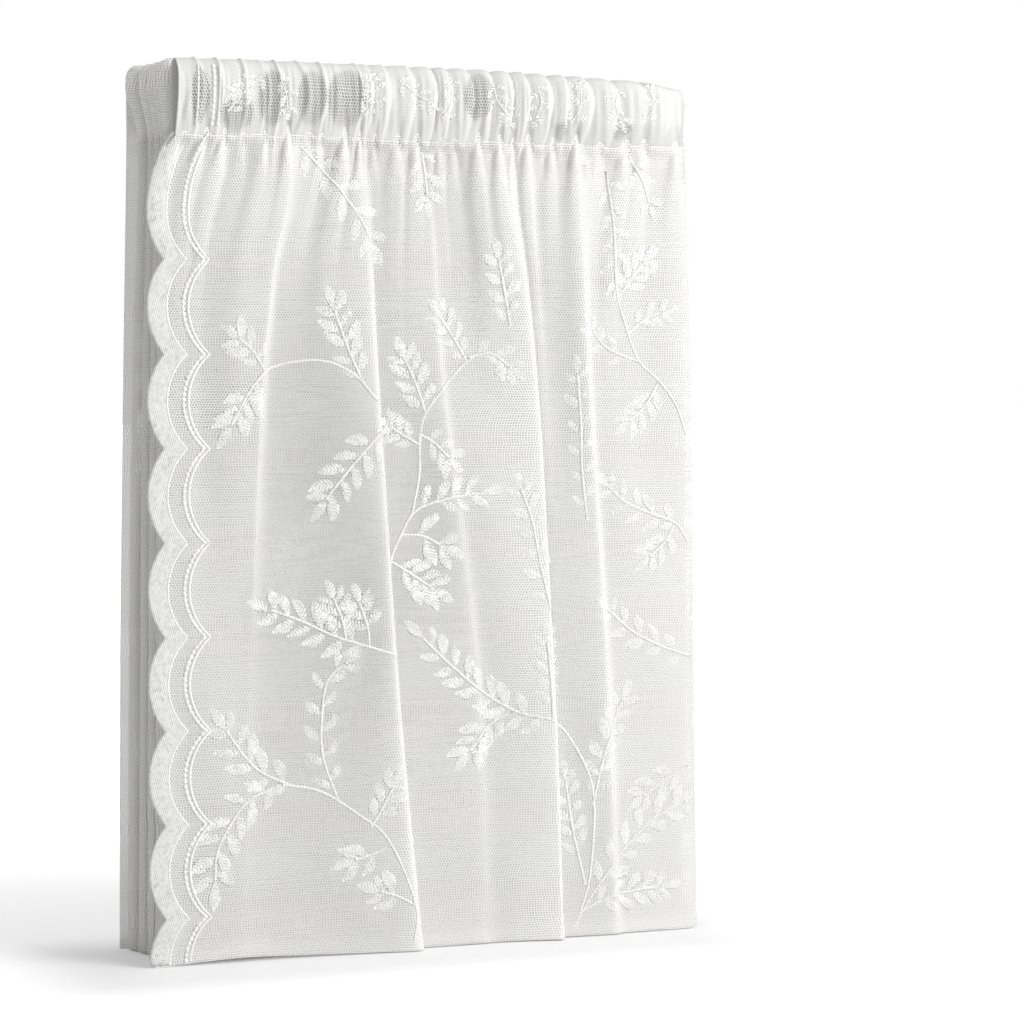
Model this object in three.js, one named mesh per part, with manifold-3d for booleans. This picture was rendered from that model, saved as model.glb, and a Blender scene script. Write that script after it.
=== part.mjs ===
// Lace cafe curtain, folded back and forth into a flat pack that stands on its hem.
// Millimetres, +Z up. The front faces -Y and the scalloped side of the front run is at -X.
// In the tables x is measured from the tips of the scallops, z from the hem, and y runs
// backwards from the plane on which the troughs of the front run lie.

import * as THREE from "three";
import { mergeVertices } from "three/addons/utils/BufferGeometryUtils.js";
import Module from "manifold-3d";

// Cloth and pack
const DROP = 455; // hem to the top of the heading
const CLOTH = 2; // lace with the air that its threads hold
const LAYERS = 12; // runs of cloth from front to back
const LAYER_PITCH = 5.2; // middle of one run to the middle of the next
const FRONT_ROOM = 6.2; // troughs of the front run to the middle of the second run
const LAYER_BOW = 0.5; // how far the runs bow to and fro
const HEM = { height: 7, extra: 0.8 }; // turned-up hem and how much thicker it is
const LACE_COLOUR = 0xf5f4f1;

// Rod pocket heading
const POCKET = { height: 36, depth: 16, behind: 3 }; // behind: back wall past the trough plane
const STITCH = DROP - POCKET.height; // height of the stitch line
const SEAM_GAP = 0.3; // heading to the top of the front run
const FLAT_POCKET_EXTRA = 1.2; // the pocket's second wall, where it lies flat in the pack
const POCKET_LEFT = 14; // left mouth of the pocket

// Widths of the gathers along the heading, from the left mouth to the right one.
const GATHER_WIDTHS = [
  11, 11, 10, 11, 9, 9, 13, 8, 12, 6, 9, 14, 12, 8, 11, 13, 11, 8, 12, 11, 11, 15, 16, 13, 11,
];
const GATHER_DEPTH = 1.7; // wave of the cloth at the stitch line, to either side
const GATHER_FADE = 26; // height over which the wave dies out below it
const GATHER_FAN = 70; // height over which the gathers fan out into the folds
const TOP_DIP = 0.9; // top edge between two puffs of the heading

// Section of the pocket, from the front of the stitch line over the top to its back.
// up: share of the height, out: share of the depth from the back wall, puff: share of the gathers' wave.
const POCKET_SECTION = [
  { up: 0.0, out: 0.36, puff: 1.0 },
  { up: 0.14, out: 0.7, puff: 1.0 },
  { up: 0.42, out: 0.98, puff: 1.0 },
  { up: 0.74, out: 0.94, puff: 0.9 },
  { up: 0.94, out: 0.66, puff: 0.7 },
  { up: 1.0, out: 0.36, puff: 0.4 },
  { up: 0.92, out: 0.08, puff: 0.1 },
  { up: 0.6, out: 0.0, puff: 0.1 },
  { up: 0.25, out: 0.0, puff: 0.1 },
  { up: 0.0, out: 0.1, puff: 0.8 },
];

// Named heights of the tables below.
const HEIGHTS = { foot: 0, low: 150, high: 305, stitch: STITCH, head: STITCH + 24 };

// Hanging folds of the front run. gather: the gather that a fold grows from, x: where its crest is,
// depth: how far the crest stands out.
const FRONT_FOLDS = [
  { gather: 6, x: { foot: 50, low: 53, high: 61 }, depth: { foot: 1, low: 1.2, high: 3, stitch: 2 } },
  { gather: 10, x: { foot: 144, low: 130, high: 120 }, depth: { foot: 9, low: 8.5, high: 7, stitch: 2 } },
  { gather: 13, x: { foot: 181, low: 175, high: 155 }, depth: { foot: 1, low: 1.5, high: 2.5, stitch: 1.5 } },
  { gather: 17, x: { foot: 223, low: 217, high: 207 }, depth: { foot: 8, low: 8, high: 6.5, stitch: 2 } },
  { gather: 21, x: { foot: 256, low: 249, high: 238 }, depth: { foot: 3, low: 4.5, high: 6, stitch: 2 } },
];
const FLANK_SHARE = 0.2; // share of the cloth past a crest that drops to the trough
const FLANK_POWER = 1.5; // how the flank flattens into the trough
const RISE_POWER = 2; // how the cloth curls up to the next crest
const FLANK_EASE = 0.06; // for each millimetre of depth, how much steeper that flank is

// Outermost x of the turns of the pack, from front to back.
const RIGHT_TURNS = [
  { foot: 305, low: 303.2, high: 301, stitch: 296.5, head: 293.5 },
  { foot: 302, low: 303, high: 301.5, stitch: 298.5, head: 296 },
  { foot: 304, low: 301.5, high: 300.5, stitch: 297, head: 298 },
  { foot: 301, low: 302.5, high: 302, stitch: 299, head: 295.5 },
  { foot: 303.5, low: 301, high: 300, stitch: 297.5, head: 298.5 },
  { foot: 300.5, low: 301.5, high: 301, stitch: 297, head: 297 },
];
const LEFT_TURNS = [
  { foot: 13.5, low: 13.5, high: 14.5, stitch: 16.5, head: 11.5 },
  { foot: 10.5, low: 11.5, high: 12.5, stitch: 14.5, head: 10.5 },
  { foot: 7.5, low: 8.5, high: 10.5, stitch: 13, head: 9.5 },
  { foot: 4.5, low: 6, high: 8, stitch: 11.5, head: 7.5 },
  { foot: 1.6, low: 3, high: 5.5, stitch: 9, head: 3.5 },
];
const FREE_EDGE = { foot: 0.2, low: 1.2, high: 3.8, stitch: 6, head: 6.2 }; // left edge of the last run
const TURN_STEPS = 4;

// Scalloped border of the front run. tip and cusp: x of the line there, top: x where it meets the heading.
const SCALLOP = { pitch: 47.2, firstTip: 0.4, lastTip: 378, sweep: 2 }; // sweep: power of the top curve
const OUTER_LINE = { tip: 0, cusp: 8.6, top: POCKET_LEFT };
const CORD_LINE = { tip: 10.3, cusp: 20.3, top: 24 };
const BORDER_EXTRA = 1.1; // how much thicker the dense border is
const SCALLOP_STEPS = 6;
const EDGE_TRIM = 2; // cloth past the tips, cut away with the scallops
const CUTTER = { front: -24, back: 4, reach: 40 };

// Grid of the sheet
const COLUMNS_PER_GATHER = 4;
const BORDER_COLUMNS = 9;
const FRONT_ROWS = [0, HEM.height, HEM.height + 1, 60, 130, 200, 265, 320, 360, 388, 406, STITCH - SEAM_GAP];
const STACK_ROWS = [0, HEM.height, HEM.height + 1, 75, 160, 245, 320, 375, 400, STITCH, 441, DROP];

const wasm = await Module();
wasm.setup();
const { lerp, clamp, smoothstep } = THREE.MathUtils;

const gatherLines = [POCKET_LEFT];
for (const width of GATHER_WIDTHS) {
  gatherLines.push(gatherLines.at(-1) + width);
}
const frontColumns = GATHER_WIDTHS.length * COLUMNS_PER_GATHER;

function solidFrom(geometry) {
  geometry.deleteAttribute("normal");
  geometry.deleteAttribute("uv");
  const merged = mergeVertices(geometry);
  const vertProperties = merged.getAttribute("position").array;
  const triVerts = new Uint32Array(merged.index.array);
  return new wasm.Manifold(new wasm.Mesh({ numProp: 3, vertProperties, triVerts }));
}

function geometryFrom(solid) {
  const { vertProperties, triVerts } = solid.getMesh();
  const geometry = new THREE.BufferGeometry();
  geometry.setAttribute("position", new THREE.BufferAttribute(vertProperties, 3));
  geometry.setIndex(new THREE.BufferAttribute(triVerts, 1));
  return geometry;
}

function meshGeometry(positions, triangles) {
  const geometry = new THREE.BufferGeometry();
  geometry.setAttribute("position", new THREE.Float32BufferAttribute(positions, 3));
  geometry.setIndex(triangles);
  return geometry;
}

// Smooth curve through a row's values at its named heights.
function atHeight(row, z) {
  const names = Object.keys(HEIGHTS).filter((name) => name in row);
  const last = names.length - 1;
  const level = (i) => HEIGHTS[names[i]];
  const value = (i) => row[names[i]];
  const slope = (i) => {
    const before = Math.max(i - 1, 0);
    const after = Math.min(i + 1, last);
    return (value(after) - value(before)) / (level(after) - level(before));
  };
  let i = 0;
  while (i < last - 1 && z > level(i + 1)) {
    i += 1;
  }
  const span = level(i + 1) - level(i);
  const q = clamp((z - level(i)) / span, 0, 1);
  const ease = q * q * (3 - 2 * q);
  const bend = slope(i) * (1 - q) - slope(i + 1) * q;
  return lerp(value(i), value(i + 1), ease) + bend * span * q * (1 - q);
}

// x of a column where the gathers leave the stitch line.
function gatherX(column) {
  const place = column / COLUMNS_PER_GATHER;
  const gather = Math.min(Math.floor(place), GATHER_WIDTHS.length - 1);
  return lerp(gatherLines[gather], gatherLines[gather + 1], place - gather);
}

function gatherWave(column) {
  return GATHER_DEPTH * Math.cos((2 * Math.PI * column) / COLUMNS_PER_GATHER);
}

// Crests of the front run with its two sides, each with its column of the grid.
const flat = { foot: 0, stitch: 0 };
const crests = [
  { column: 0, x: () => -EDGE_TRIM, depth: flat },
  ...FRONT_FOLDS.map(({ gather, x, depth }) => ({
    column: gather * COLUMNS_PER_GATHER,
    x: (z) => atHeight({ ...x, stitch: gatherLines[gather] }, z),
    depth,
  })),
  { column: frontColumns, x: (z) => turnCentre(2, z), depth: flat },
];

// Point of the front run: the cloth drops steeply past each crest and rises slowly to the next.
function frontPoint(column, z) {
  let i = 0;
  while (i < crests.length - 2 && column > crests[i + 1].column) {
    i += 1;
  }
  const from = crests[i];
  const to = crests[i + 1];
  const share = (column - from.column) / (to.column - from.column);
  const fromDepth = atHeight(from.depth, z);
  const toDepth = atHeight(to.depth, z);
  const hanging = lerp(from.x(z), to.x(z), share ** (1 + FLANK_EASE * fromDepth));
  const gathered = column === 0 ? from.x(z) : gatherX(column);
  const x = lerp(hanging, gathered, smoothstep(z, STITCH - GATHER_FAN, STITCH));
  const drop = clamp(1 - share / FLANK_SHARE, 0, 1) ** FLANK_POWER;
  const wave = gatherWave(column) * Math.exp((z - STITCH) / GATHER_FADE);
  const rise = share ** RISE_POWER;
  return new THREE.Vector3(x, -fromDepth * drop - toDepth * rise - wave, z);
}

function layerY(layer) {
  return layer === 1 ? 0 : FRONT_ROOM + (layer - 2) * LAYER_PITCH;
}

// Even layers begin at a turn on the right, odd ones at a turn on the left.
function turnSide(layer) {
  return layer % 2 === 0 ? 1 : -1;
}

function turnRadius(layer) {
  return (layerY(layer) - layerY(layer - 1)) / 2;
}

// x of the middle of the turn that leads into a layer.
function turnCentre(layer, z) {
  const turns = turnSide(layer) > 0 ? RIGHT_TURNS : LEFT_TURNS;
  const outermost = atHeight(turns[Math.floor((layer - 2) / 2)], z);
  return outermost - turnSide(layer) * (turnRadius(layer) + CLOTH / 2);
}

function runEnd(layer, z) {
  return layer === LAYERS ? atHeight(FREE_EDGE, z) : turnCentre(layer + 1, z);
}

// Columns of one layer behind the front: its turn, then its run. stack: 0 where the rows are those
// of the front run, 1 where they reach up to the top of the heading.
function layerColumns(layer) {
  const columns = [];
  const radius = turnRadius(layer);
  const y = layerY(layer);
  for (let step = 1; step <= TURN_STEPS; step += 1) {
    const angle = -Math.PI / 2 + (Math.PI * step) / TURN_STEPS;
    const reach = turnSide(layer) * radius * Math.cos(angle);
    const depth = y - radius + radius * Math.sin(angle);
    const stack = layer === 2 ? Math.min((step - 1) / (TURN_STEPS - 2), 1) : 1;
    columns.push({ stack, at: (z) => new THREE.Vector3(turnCentre(layer, z) + reach, depth, z) });
  }
  const bow = LAYER_BOW * turnSide(layer);
  const middle = (z) => (turnCentre(layer, z) + runEnd(layer, z)) / 2;
  columns.push({ stack: 1, at: (z) => new THREE.Vector3(middle(z), y + bow, z) });
  columns.push({ stack: 1, at: (z) => new THREE.Vector3(runEnd(layer, z), y, z) });
  return columns;
}

function clothThickness(z) {
  const hem = z <= HEM.height ? HEM.extra : 0;
  const pocket = z > STITCH ? FLAT_POCKET_EXTRA * Math.sin((Math.PI * (z - STITCH)) / POCKET.height) : 0;
  return CLOTH + hem + pocket;
}

// Closed sheet around a grid of points [column][row], offset in plan so that hem and top stay level.
function sheetGeometry(points, extra = 0) {
  const columnCount = points.length;
  const rowCount = points[0].length;
  const positions = [];
  for (const side of [1, -1]) {
    points.forEach((column, c) => {
      column.forEach((point, r) => {
        const before = points[Math.max(c - 1, 0)][r];
        const after = points[Math.min(c + 1, columnCount - 1)][r];
        const normal = new THREE.Vector3(after.y - before.y, before.x - after.x, 0).normalize();
        const half = (clothThickness(point.z) + extra) / 2;
        positions.push(...normal.multiplyScalar(side * half).add(point).toArray());
      });
    });
  }
  const front = (c, r) => c * rowCount + r;
  const back = (c, r) => front(c, r) + columnCount * rowCount;
  const triangles = [];
  const quad = (a, b, c, d) => triangles.push(a, b, c, a, c, d);
  const lastColumn = columnCount - 1;
  const lastRow = rowCount - 1;
  for (let c = 0; c < lastColumn; c += 1) {
    for (let r = 0; r < lastRow; r += 1) {
      quad(front(c, r), front(c + 1, r), front(c + 1, r + 1), front(c, r + 1));
      quad(back(c, r), back(c, r + 1), back(c + 1, r + 1), back(c + 1, r));
    }
    quad(back(c, 0), back(c + 1, 0), front(c + 1, 0), front(c, 0));
    quad(front(c, lastRow), front(c + 1, lastRow), back(c + 1, lastRow), back(c, lastRow));
  }
  for (let r = 0; r < lastRow; r += 1) {
    quad(front(0, r), front(0, r + 1), back(0, r + 1), back(0, r));
    quad(front(lastColumn, r), back(lastColumn, r), back(lastColumn, r + 1), front(lastColumn, r + 1));
  }
  return meshGeometry(positions, triangles);
}

// x of a line that follows the scallops: arcs between the cusps, and a sweep up to the heading.
function scallopX(line, z) {
  if (z > SCALLOP.lastTip) {
    const rise = (z - SCALLOP.lastTip) / (STITCH - SCALLOP.lastTip);
    return lerp(line.tip, line.top, rise ** SCALLOP.sweep);
  }
  const half = SCALLOP.pitch / 2;
  const sagitta = line.cusp - line.tip;
  const radius = (half ** 2 + sagitta ** 2) / (2 * sagitta);
  const nearestTip = SCALLOP.firstTip + SCALLOP.pitch * Math.round((z - SCALLOP.firstTip) / SCALLOP.pitch);
  return line.tip + radius - Math.sqrt(radius ** 2 - (z - nearestTip) ** 2);
}

// Solid beside a scalloped line, on its left (side -1) or its right (side 1), as deep as the front run.
function scallopCutter(line, side) {
  const step = SCALLOP.pitch / SCALLOP_STEPS;
  const far = line.tip + side * CUTTER.reach;
  const shape = new THREE.Shape();
  const lowest = SCALLOP.firstTip - step;
  const count = Math.ceil((STITCH + step - lowest) / step);
  shape.moveTo(far, lowest);
  for (let i = 0; i <= count; i += 1) {
    const z = lowest + i * step;
    shape.lineTo(scallopX(line, z), z);
  }
  shape.lineTo(far, lowest + count * step);
  const depth = CUTTER.back - CUTTER.front;
  const geometry = new THREE.ExtrudeGeometry(shape, { depth, bevelEnabled: false });
  geometry.rotateX(Math.PI / 2);
  geometry.translate(0, CUTTER.back, 0);
  return solidFrom(geometry);
}

// The lace panel: front run, turns and layers as one sheet, with its denser border and scallops.
function panelGeometry() {
  const columns = [];
  for (let column = 0; column <= frontColumns; column += 1) {
    columns.push({ stack: 0, at: (z) => frontPoint(column, z) });
  }
  for (let layer = 2; layer <= LAYERS; layer += 1) {
    columns.push(...layerColumns(layer));
  }
  const points = columns.map(({ stack, at }) =>
    FRONT_ROWS.map((frontZ, r) => at(lerp(frontZ, STACK_ROWS[r], stack))),
  );
  const sheet = solidFrom(sheetGeometry(points));
  const border = solidFrom(sheetGeometry(points.slice(0, BORDER_COLUMNS), BORDER_EXTRA));
  const dense = border.subtract(scallopCutter(CORD_LINE, 1));
  return geometryFrom(sheet.add(dense).subtract(scallopCutter(OUTER_LINE, -1)));
}

// Section of the pocket at a column, as points of (y, z): the outer wall, or the inner one.
function pocketSection(column, inset) {
  const wave = gatherWave(column);
  const dip = (TOP_DIP * (1 - wave / GATHER_DEPTH)) / 2;
  const outer = POCKET_SECTION.map(
    ({ up, out, puff }) =>
      new THREE.Vector2(POCKET.behind - POCKET.depth * out - wave * puff, STITCH + (POCKET.height - dip) * up),
  );
  return outer.map((point, i) => {
    const before = outer.at(i - 1);
    const after = outer[(i + 1) % outer.length];
    const inward = new THREE.Vector2(after.y - before.y, before.x - after.x).normalize();
    return inward.multiplyScalar(inset).add(point);
  });
}

// The heading: a gathered tube of cloth, open at both ends.
function headingGeometry() {
  const around = POCKET_SECTION.length;
  const positions = [];
  for (const inset of [0, CLOTH]) {
    for (let column = 0; column <= frontColumns; column += 1) {
      for (const point of pocketSection(column, inset)) {
        positions.push(gatherX(column), point.x, point.y);
      }
    }
  }
  const outer = (c, i) => c * around + (i % around);
  const inner = (c, i) => outer(c, i) + (frontColumns + 1) * around;
  const triangles = [];
  const quad = (a, b, c, d) => triangles.push(a, b, c, a, c, d);
  for (let i = 0; i < around; i += 1) {
    for (let c = 0; c < frontColumns; c += 1) {
      quad(outer(c, i), outer(c + 1, i), outer(c + 1, i + 1), outer(c, i + 1));
      quad(inner(c, i), inner(c, i + 1), inner(c + 1, i + 1), inner(c + 1, i));
    }
    quad(outer(0, i), outer(0, i + 1), inner(0, i + 1), inner(0, i));
    quad(outer(frontColumns, i), inner(frontColumns, i), inner(frontColumns, i + 1), outer(frontColumns, i + 1));
  }
  return meshGeometry(positions, triangles);
}

function lacePiece(name, geometry) {
  const material = new THREE.MeshStandardMaterial({ color: LACE_COLOUR, roughness: 0.9, metalness: 0 });
  const mesh = new THREE.Mesh(geometry, material);
  mesh.name = name;
  return mesh;
}

const curtain = new THREE.Group();
curtain.name = "lace_curtain";
curtain.add(lacePiece("lace_panel", panelGeometry()));
curtain.add(lacePiece("heading", headingGeometry()));

// The origin is under the middle of the pack, on the surface it stands on.
const middle = new THREE.Box3().setFromObject(curtain).getCenter(new THREE.Vector3());
for (const piece of curtain.children) {
  piece.position.set(-middle.x, -middle.y, 0);
}

export default curtain;
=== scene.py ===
"""Lace cafe curtain folded into an upright pack: cloth, heading, border, vines, studio and camera.

Lengths are in millimetres and measured as in the solids: x from the tips of the scallops, y backwards from
the troughs of the front run, z up from the hem. make_piece turns them into metres in the part's frame.
"""
import math

import bpy
import numpy as np
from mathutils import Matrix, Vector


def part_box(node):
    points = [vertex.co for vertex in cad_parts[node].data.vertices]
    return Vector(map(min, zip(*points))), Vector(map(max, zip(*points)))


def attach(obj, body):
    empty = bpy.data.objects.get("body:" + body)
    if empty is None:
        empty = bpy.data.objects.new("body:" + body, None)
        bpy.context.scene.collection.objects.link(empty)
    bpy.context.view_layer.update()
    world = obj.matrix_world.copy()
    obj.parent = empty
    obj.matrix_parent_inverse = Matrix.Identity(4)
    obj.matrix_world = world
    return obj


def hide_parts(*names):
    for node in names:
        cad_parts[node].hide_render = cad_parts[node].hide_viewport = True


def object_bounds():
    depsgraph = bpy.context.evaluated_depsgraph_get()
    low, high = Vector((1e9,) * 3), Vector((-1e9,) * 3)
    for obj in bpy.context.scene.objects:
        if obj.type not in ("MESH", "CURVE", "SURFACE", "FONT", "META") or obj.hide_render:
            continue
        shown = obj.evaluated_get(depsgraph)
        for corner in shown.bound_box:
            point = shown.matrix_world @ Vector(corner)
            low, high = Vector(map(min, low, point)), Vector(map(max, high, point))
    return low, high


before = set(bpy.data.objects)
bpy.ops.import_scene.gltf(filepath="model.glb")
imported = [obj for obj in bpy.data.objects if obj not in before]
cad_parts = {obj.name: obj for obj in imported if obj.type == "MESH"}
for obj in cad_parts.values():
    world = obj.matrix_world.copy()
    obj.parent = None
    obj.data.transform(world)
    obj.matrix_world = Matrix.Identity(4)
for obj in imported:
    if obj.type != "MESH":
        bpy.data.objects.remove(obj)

MM = 0.001
cad_low, cad_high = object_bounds()
panel_low, panel_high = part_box("lace_panel")
heading_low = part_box("heading")[0]
rng = np.random.default_rng(7)

# Cloth and pack, as in the solids
DROP = panel_high.z / MM
STITCH = heading_low.z / MM
POCKET = {"height": DROP - STITCH, "depth": 16, "front": 0.98, "behind": 3, "left": 14}
LAYERS = 12
LAYER_PITCH = 5.2
FRONT_ROOM = 6.2
LAYER_BOW = 0.5
TURN_ROOM = 1.0
LOOP_LENGTH = 9
LOOP_SWELL = 3.2
LOOP_FLAT = {"share": 0.6, "height": 10}
CORNER_RADIUS = 6
FOOT_RADIUS = 4
EDGE_TRIM = 2
HALF_CLOTH = 0.3
HEM = {"height": 7, "extra": 0.35, "blend": 4}
TURN_FOOT_RADIUS = 3
# How far the front hem stands off the floor: x, lift
HEM_LIFT = [(8, 0), (24, 1.4), (48, 2.4), (75, 1.6), (110, 0.9), (140, 0.6), (220, 0.8), (300, 0.5)]
HEM_LIFT_HEIGHT = 30
HEM_LIFT_BACK = 5.2
HEM_LIFT_BLEND = 3
FLAT_POCKET_SWELL = 1.1

GATHER_WIDTHS = [
    11, 11, 10, 11, 9, 9, 13, 8, 12, 6, 9, 14, 12, 8, 11, 13, 11, 8, 12, 11, 11, 15, 16, 13, 11,
]
GATHER_DEPTH = 1.7
GATHER_FAN = 70
TOP_DIP = 0.9
PER_GATHER = 4
FRONT_COLUMNS = PER_GATHER * len(GATHER_WIDTHS)
gather_lines = POCKET["left"] + np.concatenate([[0], np.cumsum(GATHER_WIDTHS)])
origin = np.array([
    panel_low.x / MM,
    heading_low.y / MM + POCKET["front"] * POCKET["depth"] - POCKET["behind"] + GATHER_DEPTH,
    0.0,
])

# Section of the pocket: share of the height, share of the depth, share of the gathers' wave
POCKET_SECTION = np.array([
    (-0.06, 0.38, 1.0), (0.00, 0.46, 1.0), (0.10, 0.54, 1.0), (0.28, 0.70, 1.0), (0.52, 0.83, 1.0),
    (0.77, 0.84, 1.0), (0.94, 0.64, 0.8), (1.00, 0.36, 0.4), (0.92, 0.08, 0.1), (0.60, 0.00, 0.1),
    (0.25, 0.00, 0.1), (0.00, 0.10, 0.3), (-0.06, 0.24, 0.6),
])
FRONT_WALL = (1, 6)
POCKET_ROUND = 92
SEAM_OUT = POCKET_SECTION[FRONT_WALL[0], 1]
SEAM_BLEND = 8
SEAM_DRAW = 30
SEAM_SETTLING = 3
# The panel's cloth thins out just under the stitch line: share lost, from and to this far below it
SEAM_THIN = {"share": 0.8, "from": 5, "to": 1}

# Gathers: puffs and ridges of the heading, tents under the stitch line
PUFF = 1.3
PUFF_LEAN = 1.5
PUFF_FLOOR = 0.8
PINCH = 0.45
PINCH_HEIGHT = 0.3
PUCKER = 4.5
RIDGE_WIDTH = 0.42
FIRST_RIDGE = 0.2
RIDGE_WIDER = 1.2
RIDGE_BODY = 0.9
RIDGE_BELOW = 0.5
TENT_DEPTH = 2.6
TENT_MEAN = 0.5
TENT_POINT = 0.25
TENT_FLARE = 0.05
TENT_WIDEST = 1.3
TENT_START = 5
TENT_SPREAD = 14
# Gather, how far its ridge stands and how far its puff bulges, as shares of the gathers' depth
GATHER_SHAPES = np.array([(0, 1.1, 0.6), (8, 1.1, 0.6), (12, 0.45, 1.5), (21, 0.45, 1.5), (25, 0.2, 0.6)])
# Small wrinkles of the heading: one every few columns, leaning with the height, in groups
WRINKLE = {"depth": 0.35, "columns": 1.37, "lean": 4, "group": 9.1, "phase": 2}
# Right end of the heading, where the cloth turns back to the next layer
END_COLUMNS = 8
END_REACH = 3.4
END_BACK = 0.4
# How far the top has sunk towards the pack's right end: x, drop
SLUMP = [(180, 0), (224, 1.5), (268, 3), (289, 6), (305, 8)]

HEIGHTS = {"foot": 0, "low": 150, "high": 305, "stitch": 419, "head": 443}
FRONT_FOLDS = [
    {"gather": 6, "x": (50, 53, 61), "depth": (1, 1.5, 4.5, 3.5)},
    {"gather": 10, "x": (144, 130, 120), "depth": (9, 8.5, 7, 2)},
    {"gather": 13, "x": (181, 175, 155), "depth": (1, 1.5, 2.5, 1.5)},
    {"gather": 17, "x": (223, 217, 207), "depth": (8, 8, 6.5, 2)},
    {"gather": 21, "x": (256, 249, 238), "depth": (2.4, 3.8, 5.4, 2)},
]
FLANK_SHARE = 0.2
FLANK_POWER = 2.5
RISE_POWER = 2
FLANK_EASE = 0.11
FOLD_SMOOTHING = 10
# Soft waves between the folds: near the stitch line, and swaying with the height; still at both edges
RIPPLE = {"depth": 0.7, "columns": 9.3, "phase": 1, "fade": 120}
SWAY = {"depth": 0.45, "columns": 17, "height": 260}
STILL_COLUMNS = (14, 8)

# x of the turns at the named heights, from the front to the back, and of the last run's free edge
RIGHT_TURNS = [
    (305, 303.2, 301, 296.5, 293.5), (302, 303, 301.5, 298.5, 296), (304, 301.5, 300.5, 297, 298),
    (301, 302.5, 302, 299, 295.5), (303.5, 301, 300, 297.5, 298.5), (300.5, 301.5, 301, 297, 297),
]
LEFT_TURNS = [
    (7, 7.5, 8.5, 11, 9), (8, 8.5, 10, 12, 9.5), (6.5, 7.5, 9.5, 12, 9), (4.5, 6, 8, 11.5, 7.5),
    (1.6, 3, 5.5, 9, 3.5),
]
FREE_EDGE = (0.2, 1.2, 3.8, 6, 6.2)

# Scalloped lines of the border: x at a tip, at a cusp, and where the line meets the heading
SCALLOP = 47.2
FIRST_TIP = 0.4
LAST_TIP = 378
OUTER_LINE = (0, 8.6, 14)
CORD_LINE = (10.3, 20.3, 24)
ROPE_LINE = (18.6, 29.6, 32.2)
INNER_LINE = (21.2, 32, 35)

# Grid of the cloth
TABLE_STEP = 0.2
FRONT_SPAN = (0, 301)
RUN_SPAN = (2, 298)
LAST_CELL = 1.001
SLOPE_REACH = 0.8
ROWS_PER_SCALLOP = 12
SWEEP_ROWS = 16
SWEEP_EASE = 1.8
FOOT_ROW = 1.6
TURN_STEPS = 10
RUN_COLUMNS = 4
RUN_FIELD_COLUMNS = 61
BORDER_COLUMN = 12


def at_height(row, z):
    """Cubic curve through a row's values at the first of the named heights, slopes from its neighbours."""
    values = np.asarray(row, float)
    levels = np.array(list(HEIGHTS.values()), float)[: len(values)]
    index = np.arange(len(values))
    after = np.minimum(index + 1, len(values) - 1)
    before = np.maximum(index - 1, 0)
    slope = (values[after] - values[before]) / (levels[after] - levels[before])
    z = np.asarray(z, float)
    i = np.clip(np.searchsorted(levels, z, "left") - 1, 0, len(values) - 2)
    span = levels[i + 1] - levels[i]
    q = np.clip((z - levels[i]) / span, 0, 1)
    ease = q * q * (3 - 2 * q)
    bend = slope[i] * (1 - q) - slope[i + 1] * q
    return values[i] + (values[i + 1] - values[i]) * ease + bend * span * q * (1 - q)


def ramp(value, low, high):
    """Smooth step from 0 at low to 1 at high."""
    q = np.clip((value - low) / (high - low), 0, 1)
    return q * q * (3 - 2 * q)


def scallop_x(line, z):
    """Arcs from cusp to cusp, bulging left to the tips; above the last tip a parabola to the heading."""
    tip, cusp, top = line
    half = SCALLOP / 2
    sagitta = cusp - tip
    radius = (half**2 + sagitta**2) / (2 * sagitta)
    z = np.asarray(z, float)
    from_tip = (z - FIRST_TIP + half) % SCALLOP - half
    arc = tip + radius - np.sqrt(radius**2 - from_tip**2)
    rise = np.clip((z - LAST_TIP) / (STITCH - LAST_TIP), 0, None)
    return np.where(z > LAST_TIP, tip + (top - tip) * rise**2, arc)


def rounding(distance, radius):
    """How far a corner rounded with this radius lies in, at a distance from its other edge."""
    inside = np.clip(radius - np.asarray(distance, float), 0, radius)
    return radius - np.sqrt(radius**2 - inside**2)


def raise_hem(points):
    """Points of the front run lifted by HEM_LIFT at the hem, less and less with the height."""
    x, y, z = points.T
    front = ramp(HEM_LIFT_BACK - y, 0, HEM_LIFT_BLEND)
    share = front * ramp(HEM_LIFT_HEIGHT - z, 0, HEM_LIFT_HEIGHT)
    return np.stack([x, y, z + share * np.interp(x, *np.transpose(HEM_LIFT))], -1)


def outer_edge(z):
    """Scalloped left edge, rounded at its foot."""
    return scallop_x(OUTER_LINE, z) + rounding(z, FOOT_RADIUS)


def gather_x(column):
    """x of a column of the gathers, carried a little further at the right end."""
    return per_gather(gather_lines, column) + END_REACH * end_share(column)


def end_share(column):
    """0 along the heading, 1 at its right end."""
    return ramp(column, FRONT_COLUMNS - END_COLUMNS, FRONT_COLUMNS)


def slump(x):
    """How far the top has sunk towards the pack's right end."""
    return np.interp(x, *np.transpose(SLUMP))


def per_gather(values, column):
    """Value at a column, in straight lines between the gathers' own values."""
    return np.interp(column, PER_GATHER * np.arange(len(values)), values)


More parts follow.
